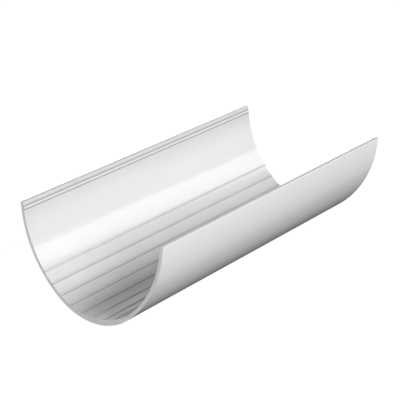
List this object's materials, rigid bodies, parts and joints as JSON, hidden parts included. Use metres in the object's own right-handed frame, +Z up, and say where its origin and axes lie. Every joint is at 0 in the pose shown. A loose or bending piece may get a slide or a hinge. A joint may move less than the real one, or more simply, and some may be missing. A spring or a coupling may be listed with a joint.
{
  "type": "gutter section",
  "caption": "Straight open trough for roof rainwater: a deep rounded channel with beaded rims and fine lengthwise flow ribs inside.",
  "frame": {"origin": "on the outer surface's lowest line, under the middle of the trough's length and width", "axes": "+X across the trough, +Y along its length, +Z up out of its mouth"},
  "size_m": [0.125, 0.26, 0.0728],
  "materials": {
    "gutter_plastic": "smooth extruded plastic with a soft sheen"
  },
  "bodies": {
    "root": {"gutter_section": "gutter_plastic"}
  },
  "joints": []
}
